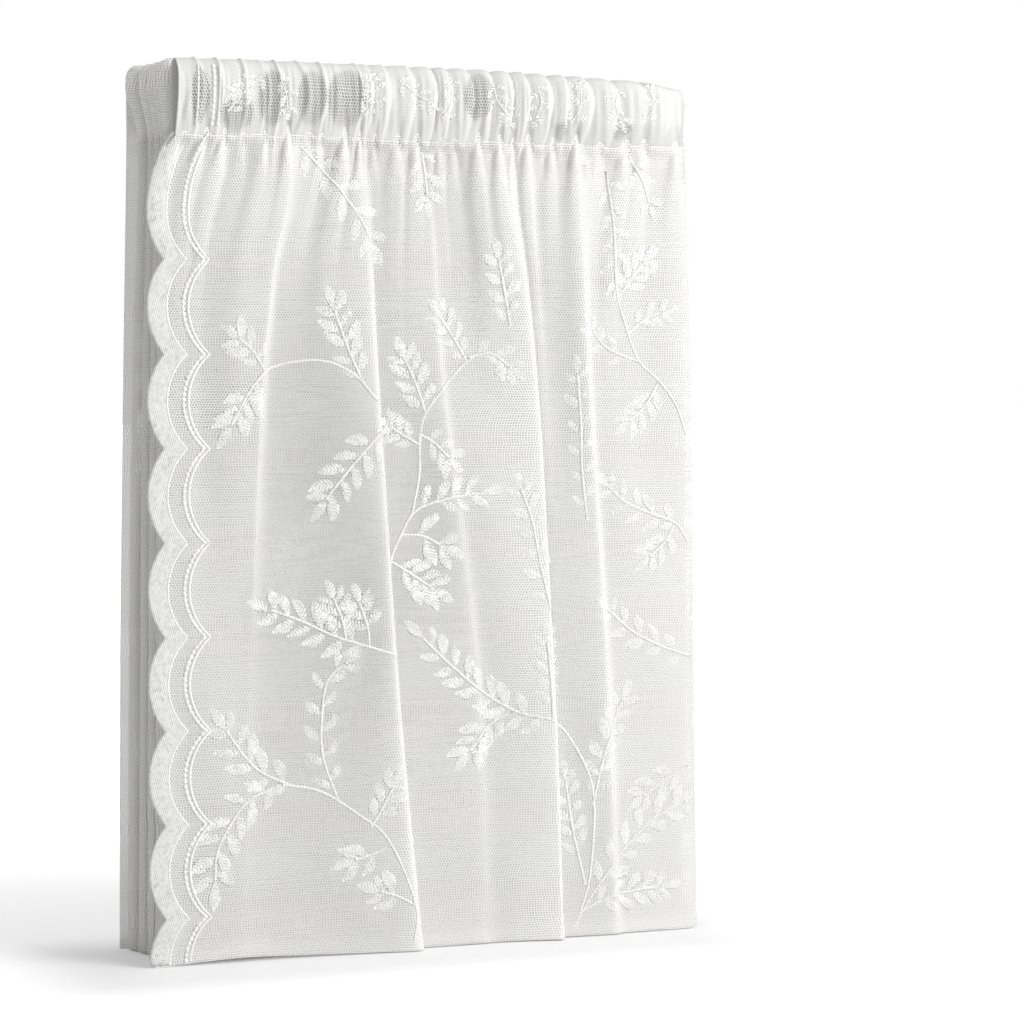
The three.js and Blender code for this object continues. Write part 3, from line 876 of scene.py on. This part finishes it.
def heading_points(section, inset=0.0):
    """Gathered tube: the pocket's section, swollen by puffs and ridges and wrinkled between the seams."""
    up, out, puff = section.T
    c = heading_columns[:, None]
    body = np.sin(np.pi * np.clip(up, 0, 1))
    strength = per_gather(gather_strength, c)
    grid_up = np.broadcast_to(up, (len(c), len(up)))
    wave = gather_wave(c + 0 * grid_up, grid_up, RIDGE_WIDER + RIDGE_BODY * body)
    wrinkle = np.sin(2 * np.pi * c / WRINKLE["columns"] + WRINKLE["lean"] * up)
    wrinkle = wrinkle * np.sin(2 * np.pi * c / WRINKLE["group"] + WRINKLE["phase"])
    pinch = PINCH + (1 - PINCH) * ramp(up, 0, PINCH_HEIGHT)
    depth = GATHER_DEPTH * strength * wave * pinch * (1 + (PUFF - 1) * body)
    depth = depth + WRINKLE["depth"] * wrinkle * body
    dip = TOP_DIP * np.clip(1 - wave, 0, 2) * strength + slump(gather_x(c)) * np.clip(up, 0, 1)
    out = out * (1 - END_BACK * end_share(c) ** 2)
    y = POCKET["behind"] - (POCKET["depth"] - 2 * inset) * out - inset - depth * puff
    z = STITCH + inset * (1 - 2 * up) + (POCKET["height"] - dip * up) * np.minimum(up, 1)
    z = z + seam_z(c) * np.clip(1 - SEAM_SETTLING * up, 0, 1)
    return np.stack([np.broadcast_to(gather_x(c), y.shape), y, z], -1)


def window_share(x, up):
    """1 in the oval windows of the heading's net, falling to 0 with the squared distance at their edges."""
    share = 0
    for left, right, low, high in HEADING_WINDOWS:
        across = (2 * x - left - right) / (right - left)
        upward = (2 * up - low - high) / (high - low)
        share = share + ramp(1 - across**2 - upward**2, 0, WINDOW_SOFTNESS)
    return np.minimum(share, 1)


def heading_fullness(x, up):
    """How full the gathered net is: by gather, mottled, fuller on ridges and border, less in the windows."""
    ridge = gather_ridges(heading_columns[:, None] + 0 * up, up, 1.0)
    waves = [np.sin(2 * np.pi * (x / length + turns * up)) for length, turns in MOTTLE_WAVES]
    band = ramp(POCKET["left"] + BAND["width"] - x, 0, BAND["blend"])
    full = per_gather(gather_fill, heading_columns)[:, None] + HEADING_FULLNESS["band"] * band
    full = full + HEADING_FULLNESS["mottle"] * waves[0] * waves[1]
    full = full + HEADING_FULLNESS["ridge"] * ramp(ridge, *DENSE_RIDGE)
    window = window_share(x, up)
    return full * (1 - window) + HEADING_FULLNESS["window"] * window


def build_heading():
    """Tube of cloth open at both ends: outer and inner wall, joined by a rim at each mouth."""
    section = section_curve(np.arange(SECTION_STEPS) * len(POCKET_SECTION) / SECTION_STEPS)
    outer = heading_points(section)
    inner = heading_points(section, 2 * HALF_CLOTH)
    verts, quads = walls(outer, inner, wrap=True)
    along = arc_lengths(outer)
    around = np.broadcast_to(np.linspace(0, POCKET_ROUND, SECTION_STEPS), along.shape)
    uv = np.stack([along, around], -1).reshape(-1, 2)
    dense = heading_fullness(outer[..., 0], np.broadcast_to(section[:, 0], along.shape))
    return make_piece("heading_cloth", verts, quads, uv, heading_net_painted_shade, "heading", dense.ravel())


def heading_field():
    """Depth of the heading's front wall over x and z, from the stitch line to just under the top."""
    points = heading_points(section_curve(np.linspace(*FRONT_WALL, FIELD_STEPS)))
    z_rows = np.linspace(STITCH + FIELD_ENDS[0], DROP - FIELD_ENDS[1], FIELD_ROWS)
    y = np.stack([np.interp(z_rows, column[:, 2], column[:, 1]) for column in points])
    x = np.broadcast_to(gather_x(heading_columns)[:, None], y.shape)
    return height_field(x, y, z_rows, POCKET["left"], gather_lines[-1])


heading_cloth = build_heading()
head_field = heading_field()

# Border, cords and vines

# How far the axis of a cord or a stem lies off the cloth
SEAT = 0.1
TUBE_SIDES = 6
TUBE_CAPS = np.array([[0, 1, 2, 3], [0, 3, 4, 5]])
PATH_STEPS = 12
LEAST_STEPS = 3


def join_parts(parts):
    """Several meshes (verts, quads, uv, dense) as one."""
    starts = np.concatenate([[0], np.cumsum([len(p[0]) for p in parts])[:-1]])
    verts = np.concatenate([p[0] for p in parts])
    quads = np.concatenate([p[1] + s for p, s in zip(parts, starts)])
    return verts, quads, np.concatenate([p[2] for p in parts]), np.concatenate([p[3] for p in parts])


def tube(points, normals, radius, flat):
    """Oval of half-width radius and half-height flat * radius carried along a path, closed by flat ends; the
    normals keep it from twisting."""
    tangent = unit(np.gradient(points, axis=0))
    across = unit(np.cross(tangent, normals))
    upward = np.cross(across, tangent)
    angle = 2 * np.pi * np.arange(TUBE_SIDES) / TUBE_SIDES
    radius = np.broadcast_to(radius, len(points))[:, None, None]
    wide, high = np.cos(angle)[None, :, None], flat * np.sin(angle)[None, :, None]
    ring = wide * across[:, None] + high * upward[:, None]
    verts = points[:, None] + radius * ring
    quads = grid_quads(len(points), TUBE_SIDES, True)[:, ::-1]
    end = (len(points) - 1) * TUBE_SIDES
    quads = np.concatenate([quads, TUBE_CAPS, TUBE_CAPS[:, ::-1] + end])
    length = np.broadcast_to(arc_lengths(points)[:, None], verts.shape[:2])
    girth = np.broadcast_to(np.linspace(-1, 1, TUBE_SIDES), length.shape)
    uv = np.stack([length, girth], -1).reshape(-1, 2)
    return verts.reshape(-1, 3), quads, uv, np.zeros(len(uv))


def on_path(place, length, path):
    """Points of a flat path at places along its length."""
    return np.stack([np.interp(place, length, path[:, k]) for k in range(2)], -1)


def smooth_path(points, step):
    """Cubic curve through a few points, cut into even steps of its length."""
    p = np.asarray(points, float)
    p = np.concatenate([2 * p[:1] - p[1:2], p, 2 * p[-1:] - p[-2:-1]])
    t = np.linspace(0, 1, PATH_STEPS, endpoint=False)[None, :, None]
    curve = spline(*(p[k : len(p) - 3 + k, None] for k in range(4)), t)
    curve = np.concatenate([curve.reshape(-1, 2), p[-2:-1]])
    length = arc_lengths(curve)
    steps = max(int(length[-1] / step), LEAST_STEPS)
    return on_path(np.linspace(0, length[-1], steps + 1), length, curve)


BORDER = {"row": 2.0, "columns": 9, "half": 0.4, "swell": 0.2, "end": 1.0}
CUSPS = 8
CUSP_ROOM = 0.6


def border_rows(step):
    """Heights along the border, evenly stepped, with one at each cusp between the scallops."""
    cusps = FIRST_TIP + SCALLOP * (np.arange(CUSPS) + 0.5)
    even = np.arange(BORDER["end"], STITCH - BORDER["end"], step)
    even = even[np.min(np.abs(even[:, None] - cusps[None]), 1) > CUSP_ROOM * step]
    return np.sort(np.concatenate([even, cusps]))


def build_border():
    """Dense band between the scalloped edge and the first cord, a thin raised strip on the cloth."""
    z = border_rows(BORDER["row"])
    share = np.linspace(0, 1, BORDER["columns"])[:, None]
    outer = outer_edge(z)
    x = outer + (scallop_x(CORD_LINE, z) - outer) * share
    grid_z = np.broadcast_to(z, x.shape)
    middle, normal = lift(front_field, x, grid_z, np.full(x.shape, -HALF_CLOTH))
    half = BORDER["half"] + BORDER["swell"] * np.sin(np.pi * share)
    verts, quads = shell(middle, normal, np.broadcast_to(half, x.shape))
    uv = np.stack([x + grid_z, x - grid_z], -1).reshape(-1, 2)
    edge = np.broadcast_to(np.abs(2 * share - 1), x.shape).ravel()
    return make_piece("border_band", verts, quads, uv, border_thread, "lace_panel", edge)


CORDS = [
    {"line": CORD_LINE, "radius": 0.55, "bead": 0, "step": 1.6},
    {"line": ROPE_LINE, "radius": 0.8, "bead": 0.4, "step": 0.6},
    {"line": INNER_LINE, "radius": 0.65, "bead": 0, "step": 1.6},
]
CORD_FLAT = 0.6
CORD_ENDS = (2, 4)
BEAD_PITCH = 2.9


def build_cords():
    """Cords along the border, swept tubes; the rope swells and thins as a sine of its length."""
    parts = []
    for cord in CORDS:
        head_rows = np.arange(STITCH + CORD_ENDS[0], DROP - CORD_ENDS[1], cord["step"])
        for z, field in ((border_rows(cord["step"]), front_field), (head_rows, head_field)):
            x = scallop_x(cord["line"], np.minimum(z, STITCH))
            points, normals = lift(field, x, z, np.full(len(z), SEAT))
            bead = np.sin(2 * np.pi * arc_lengths(points) / BEAD_PITCH)
            parts.append(tube(points, normals, cord["radius"] + cord["bead"] * bead, CORD_FLAT))
    verts, quads, uv, _ = join_parts(parts)
    return make_piece("border_cords", verts, quads, uv, cord_thread, "lace_panel")


border_band = build_border()
border_cords = build_cords()

# Leaf sprays: line of the stem in (x, z), where along it the leaves begin, pairs of leaves, leaf length
FRONT_SPRAYS = [
    ([(138, 3), (139, 24), (125, 58), (108, 73), (89, 85), (70, 89)], 0, 0, 0),
    ([(78, 87), (60, 95), (50, 104), (40, 118)], 0.1, 4, 15),
    ([(70, 89), (52, 82), (42, 70), (35, 56), (34, 42)], 0.1, 5, 16),
    ([(126, 56), (118, 52), (108, 49)], 0.5, 1, 15),
    ([(139, 24), (130, 29), (121, 32)], 0.5, 1, 14),
    ([(116, 66), (122, 76), (127, 86)], 0.2, 2, 13),
    ([(99, 79), (91, 101), (90, 120), (93, 141), (103, 150)], 0.1, 5, 12),
    ([(131, 153), (112, 159), (97, 164), (80, 172), (64, 178)], 0.3, 5, 15),
    ([(103, 162), (101, 172), (97, 182)], 0.3, 2, 13),
    ([(115, 158), (114, 168), (110, 180)], 0.4, 2, 13),
    ([(131, 150), (129, 180), (128, 200), (134, 215), (142, 227), (159, 233), (178, 236)], 0.72, 3, 14),
    ([(140, 225), (144, 246), (144, 263), (147, 277), (155, 288), (164, 298), (172, 306)], 0, 0, 0),
    ([(147, 278), (142, 292), (136, 305)], 0.1, 3, 14),
    ([(144, 261), (137, 265), (129, 270)], 0.2, 2, 13),
    ([(145, 266), (152, 262), (160, 254)], 0.2, 2, 12),
    ([(170, 304), (163, 316), (155, 327)], 0.1, 3, 12),
    ([(129, 201), (139, 195), (151, 187)], 0.2, 3, 15),
    ([(134, 215), (146, 214), (156, 209)], 0.4, 1, 16),
    ([(172, 306), (183, 308), (193, 301)], 0.2, 2, 12),
    ([(232, 5), (240, 35), (241, 78), (229, 105), (217, 116), (198, 121), (178, 133), (161, 147), (146, 161)],
     0.62, 7, 15),
    ([(195, 121), (183, 115), (172, 102)], 0.2, 3, 15),
    ([(216, 117), (215, 137), (213, 158)], 0.2, 4, 12),
    ([(241, 70), (248, 99), (259, 125)], 0.1, 5, 13),
    ([(237, 28), (230, 58), (226, 84)], 0.3, 4, 12),
    ([(249, 404), (253, 375), (255, 342), (260, 324), (268, 305), (280, 294), (290, 281), (296, 265)],
     0.05, 0, 0),
    ([(249, 404), (253, 375), (255, 345)], 0.1, 4, 12),
    ([(268, 304), (250, 311), (241, 321)], 0.3, 2, 11),
    ([(261, 413), (269, 400), (274, 388)], 0.2, 2, 11),
    ([(256, 338), (264, 349), (271, 357)], 0.2, 3, 13),
    ([(262, 319), (272, 327), (282, 330)], 0.3, 2, 11),
    ([(280, 294), (272, 281), (263, 273)], 0.2, 3, 12),
    ([(297, 208), (290, 218), (274, 224), (260, 230), (251, 238)], 0.2, 4, 13),
    ([(289, 218), (284, 209), (275, 201)], 0.3, 2, 12),
    ([(298, 147), (281, 153), (265, 161), (252, 172)], 0.1, 4, 13),
    ([(231, 5), (241, 22), (255, 40), (275, 59), (296, 69)], 0.3, 5, 15),
    ([(297, 88), (285, 82), (272, 73)], 0.2, 2, 13),
    ([(236, 14), (255, 21), (282, 24)], 0.2, 4, 14),
    ([(121, 268), (113, 259), (101, 245), (93, 234)], 0.1, 4, 15),
    ([(119, 284), (107, 297), (91, 304), (69, 302), (56, 294), (43, 272)], 0.75, 3, 15),
    ([(60, 299), (54, 309), (47, 315)], 0.2, 2, 13),
    ([(112, 292), (104, 310), (97, 330)], 0.1, 4, 14),
    ([(80, 412), (96, 396), (110, 378), (117, 365)], 0, 4, 15),
    ([(215, 174), (209, 200), (205, 221), (199, 238)], 0.1, 5, 12),
    ([(237, 221), (234, 247), (233, 274), (231, 298)], 0.1, 5, 11),
    ([(145, 413), (147, 400), (148, 389)], 0.1, 2, 12),
    ([(193, 322), (190, 340), (187, 356)], 0.1, 3, 13),
]
SECOND_SPRAYS = [
    ([(38, 148), (52, 168), (72, 192), (84, 220)], 0.1, 6, 14),
    ([(84, 78), (95, 110), (108, 148)], 0.1, 6, 14),
    ([(60, 330), (75, 350), (96, 362)], 0.1, 4, 13),
    ([(165, 60), (180, 84), (200, 100)], 0.1, 4, 14),
    ([(170, 200), (182, 180), (204, 172)], 0.1, 4, 13),
    ([(170, 352), (185, 330), (208, 320)], 0.1, 4, 14),
    ([(262, 190), (276, 196), (292, 192)], 0.1, 3, 12),
]
HEADING_SPRAYS = [
    ([(40, 428), (45, 434), (47, 441)], 0.0, 3, 9),
    ([(56, 446), (51, 441), (44, 437)], 0.0, 2, 9),
    ([(66, 445), (70, 437), (71, 430)], 0.0, 2, 8),
    ([(112, 428), (116, 436), (116, 446)], 0.0, 3, 9),
    ([(130, 446), (137, 441), (146, 436)], 0.0, 3, 9),
    ([(154, 428), (158, 435), (158, 444)], 0.0, 2, 8),
    ([(182, 446), (184, 438), (190, 430)], 0.0, 3, 9),
    ([(206, 446), (208, 438), (206, 430)], 0.0, 2, 9),
    ([(226, 428), (230, 436), (230, 446)], 0.0, 2, 9),
    ([(252, 446), (250, 438), (254, 430)], 0.0, 2, 9),
    ([(268, 430), (272, 438), (270, 446)], 0.0, 2, 9),
]
LEAF_ANGLE = math.radians(46)
LEAF_THICKNESS = 0.16
LEAF_WIDTH = 0.22
LEAF_BEND = 0.06
LEAF_SKEW = 1.15
LEAF_ROUNDNESS = 0.8
LEAF_TIP = 0.07
LEAF_UNDER = 0.3
LEAF_ALONG = 7
LEAF_AROUND = 8
# Places along a stem: of its last pair, of the last leaf root, lag of the right leaf behind the left one
LAST_PAIR = 0.93
LAST_ROOT = 0.97
PAIR_LAG = 0.35
# Leaves are longest at this place, shorter with the distance from it; the leaf at the tip has its own share
LONGEST_AT = 0.55
SHORTENING = 0.35
TIP_LEAF = 0.95
STEM_RADIUS = 0.65
STEM_FLAT = 0.45
STEM_STEP = 3
HEADING_STEM = 0.4
# Room for the sprays: x from, x to, z from, z to
FRONT_SPRAY_ROOM = (4, 299, 4, 415)
SECOND_SPRAY_ROOM = (22, 290, 10, 410)
BACK_SPRAY_ROOM = (10, 292, 8, 412)
HEADING_SPRAY_ROOM = (18, 286, STITCH + 5, DROP - 5)
BACK_MIRROR = 302


def unit_leaf():
    """Closed leaf as rings along its length: half-width sin(pi u^1.15)^0.8, domed on top, flat underneath."""
    u = np.linspace(0.0, 1.0, LEAF_ALONG)[:, None]
    angle = 2 * np.pi * np.arange(LEAF_AROUND)[None] / LEAF_AROUND
    width = np.maximum(np.sin(np.pi * u**LEAF_SKEW), 0) ** LEAF_ROUNDNESS
    width = np.maximum(width, LEAF_TIP)
    across = np.cos(angle) * width
    up = np.sin(angle) * np.sqrt(width)
    up = np.where(up > 0, up, LEAF_UNDER * up)
    quads = grid_quads(LEAF_ALONG, LEAF_AROUND, True)
    end = (LEAF_ALONG - 1) * LEAF_AROUND
    caps = np.array([[0, 1, 2, 3], [0, 3, 4, 7], [4, 5, 6, 7]])
    quads = np.concatenate([quads, caps[:, ::-1], caps + end])
    along = np.broadcast_to(u, across.shape)
    margin = np.broadcast_to(np.abs(np.cos(angle)), across.shape)
    return along.ravel(), across.ravel(), up.ravel(), margin.ravel(), quads


def leaf_rows(path, begin, pairs, size):
    """Roots, directions and lengths of a spray's leaves: alternate pairs along the stem, one at its tip."""
    length = arc_lengths(path)
    tangent = np.gradient(path, axis=0)
    heading = np.unwrap(np.arctan2(tangent[:, 1], tangent[:, 0]))
    place = np.linspace(begin, LAST_PAIR, pairs)
    side = np.tile([1.0, -1.0], pairs)
    place = np.repeat(place, 2) + np.where(side > 0, 0, PAIR_LAG / pairs)
    place = np.clip(place, 0, LAST_ROOT) * length[-1]
    lean = LEAF_ANGLE * rng.uniform(0.8, 1.2, 2 * pairs)
    direction = np.interp(place, length, heading) + side * lean
    grow = 1 - SHORTENING * np.abs(place / length[-1] - LONGEST_AT)
    leaf = size * grow * rng.uniform(0.85, 1.12, 2 * pairs)
    root = np.concatenate([on_path(place, length, path), path[-1:]])
    direction = np.append(direction, heading[-1])
    return root, direction, np.append(leaf, size * TIP_LEAF), np.append(side, 0)


def build_vine(name, sprays, field, side, node, room, mirror=None, stem=STEM_RADIUS):
    """Stems as thin tubes and leaves as domed patches, laid on a height field of the cloth."""
    parts = []
    left, right, low, high = room
    along, across, up, margin, leaf_quads = unit_leaf()
    for line, begin, pairs, size in sprays:
        path = smooth_path(line, STEM_STEP * stem)
        if mirror is not None:
            path = path * (-1, 1) + (mirror, 0)
        path = np.clip(path, (left, low), (right, high))
        points, normals = lift(field, path[:, 0], path[:, 1], np.full(len(path), SEAT), side)
        parts.append(tube(points, normals, stem, STEM_FLAT))
        if not pairs:
            continue
        root, direction, length, bend = leaf_rows(path, begin, pairs + 1, size)
        width = LEAF_WIDTH * length * rng.uniform(0.9, 1.15, len(length))
        s = length[:, None] * along
        t = width[:, None] * across + (LEAF_BEND * length * bend)[:, None] * np.sin(np.pi * along)
        cosine, sine = np.cos(direction)[:, None], np.sin(direction)[:, None]
        x = np.clip(root[:, :1] + s * cosine - t * sine, left, right)
        z = np.clip(root[:, 1:] + s * sine + t * cosine, low, high)
        height = np.broadcast_to(LEAF_THICKNESS * up, x.shape)
        points, _ = lift(field, x, z, height, side)
        starts = len(along) * np.arange(len(root))[:, None, None]
        quads = (leaf_quads[None] + starts).reshape(-1, 4)
        if side > 0:
            quads = quads[:, ::-1]
        uv = np.stack([s, width[:, None] * across], -1).reshape(-1, 2)
        parts.append((points.reshape(-1, 3), quads, uv, np.tile(margin, len(root))))
    verts, quads, uv, edge = join_parts(parts)
    return make_piece(name, verts, quads, uv, satin_thread, node, edge)


def run_field(layer, half):
    """Depth of one layer's flat run over x and z."""
    x, y = run_points(layer, np.linspace(0, 1, RUN_FIELD_COLUMNS)[:, None], stack_rows)
    return height_field(x, y + half + 0 * x, stack_rows, *RUN_SPAN)


second_field = run_field(2, -HALF_CLOTH)
back_field = run_field(LAYERS, HALF_CLOTH)
vine_front = build_vine("vine_front", FRONT_SPRAYS, front_field, -1, "lace_panel", FRONT_SPRAY_ROOM)
vine_second = build_vine("vine_second", SECOND_SPRAYS, second_field, -1, "lace_panel", SECOND_SPRAY_ROOM)
vine_back = build_vine(
    "vine_back", FRONT_SPRAYS, back_field, 1, "lace_panel", BACK_SPRAY_ROOM, mirror=BACK_MIRROR
)
vine_heading = build_vine(
    "vine_heading", HEADING_SPRAYS, head_field, -1, "heading", HEADING_SPRAY_ROOM, stem=HEADING_STEM
)

# Studio and camera

FLOOR_HALF = 20
# Glow of the floor against the distance from the pack in metres, and what is taken off it close to the pack
# as a painted shadow
FLOOR_GLOW = {"From Min": -0.03, "From Max": 0.9, "To Min": 0.36, "To Max": 0.95}
FLOOR_PAINTED_SHADOW = {"From Max": 0.06, "To Min": -0.2, "To Max": 0.0}
# Moves the middle of the distance towards the left and front, so that the painted shadow lies there
PAINTED_SHADOW_SHIFT = {"X": 0.02, "Y": 0.015}
CAMERA = {"sensor": 36, "lens": 107.4, "place": (-0.5563, -1.4979, 0.2924), "tilt": 87.6, "turn": -22.12}


def build_floor():
    """Pale floor; a glow that only the camera sees keeps it white, rising with the distance from the pack,
    and is cut back close to the pack as a painted shadow, most to its left and front.
    """
    material, tree, shader = new_material("pale floor")
    shader.inputs["Base Color"].default_value = (0.75, 0.75, 0.75, 1)
    shader.inputs["Roughness"].default_value = 0.9
    shader.inputs["Specular IOR Level"].default_value = 0.1
    shader.inputs["Emission Color"].default_value = (1, 1, 1, 1)
    place = add_node(tree, "TexCoord", {}).outputs["Object"]
    axes = add_node(tree, "SeparateXYZ", {"Vector": place}).outputs
    squares = []
    for axis, half in (("X", cad_high.x), ("Y", cad_high.y)):
        # Distance to the pack's box, shifted so the painted shadow falls to the left and front
        off = calc(tree, "ABSOLUTE", calc(tree, "ADD", axes[axis], PAINTED_SHADOW_SHIFT[axis]))
        past = calc(tree, "MAXIMUM", calc(tree, "SUBTRACT", off, half), 0.0)
        squares.append(calc(tree, "MULTIPLY", past, past))
    reach = calc(tree, "SQRT", calc(tree, "ADD", *squares))
    levels = [
        add_node(tree, "MapRange", {"Value": reach, **limits}, interpolation_type="SMOOTHSTEP").outputs[0]
        for limits in (FLOOR_GLOW, FLOOR_PAINTED_SHADOW)
    ]
    rays = add_node(tree, "LightPath", {}).outputs["Is Camera Ray"]
    glow = calc(tree, "MULTIPLY", calc(tree, "ADD", *levels), rays)
    tree.links.new(glow, shader.inputs["Emission Strength"])
    mesh = bpy.data.meshes.new("floor")
    corners = [(x * FLOOR_HALF, y * FLOOR_HALF, 0) for x, y in ((-1, -1), (1, -1), (1, 1), (-1, 1))]
    mesh.from_pydata(corners, [], [(0, 1, 2, 3)])
    mesh.materials.append(material)
    floor = bpy.data.objects.new("floor", mesh)
    bpy.context.scene.collection.objects.link(floor)
    return floor


def build_world(strength):
    """White for the camera, softer white light for everything else."""
    world = bpy.data.worlds.new("studio")
    world.use_nodes = True
    tree = world.node_tree
    background = tree.nodes["Background"]
    background.inputs["Color"].default_value = (1, 1, 1, 1)
    rays = add_node(tree, "LightPath", {}).outputs["Is Camera Ray"]
    level = calc(tree, "MULTIPLY_ADD", rays, 1.0 - strength, strength)
    tree.links.new(level, background.inputs["Strength"])
    bpy.context.scene.world = world


def build_light(name, place, aim, size, power):
    """Round area light turned towards the point it aims at."""
    light = bpy.data.lights.new(name, "AREA")
    light.shape = "DISK"
    light.size = size
    light.energy = power
    lamp = bpy.data.objects.new(name, light)
    lamp.location = place
    bpy.context.scene.collection.objects.link(lamp)
    towards = [a - p for a, p in zip(aim, place)]
    flat = math.hypot(towards[0], towards[1])
    lamp.rotation_euler = (math.atan2(flat, -towards[2]), 0, math.atan2(-towards[0], towards[1]))


def build_camera():
    """Camera fitted to the corners of the pack."""
    data = bpy.data.cameras.new("camera")
    data.sensor_width = CAMERA["sensor"]
    data.lens = CAMERA["lens"]
    camera = bpy.data.objects.new("camera", data)
    camera.location = CAMERA["place"]
    camera.rotation_euler = (math.radians(CAMERA["tilt"]), 0, math.radians(CAMERA["turn"]))
    bpy.context.scene.collection.objects.link(camera)
    bpy.context.scene.camera = camera


floor = build_floor()
build_world(strength=0.64)
build_light("key", place=(1.5, -1.75, 1.15), aim=(0, 0, 0.22), size=1.6, power=49)
build_camera()
scene = bpy.context.scene
scene.view_settings.view_transform = "Standard"
scene.cycles.transparent_max_bounces = 20
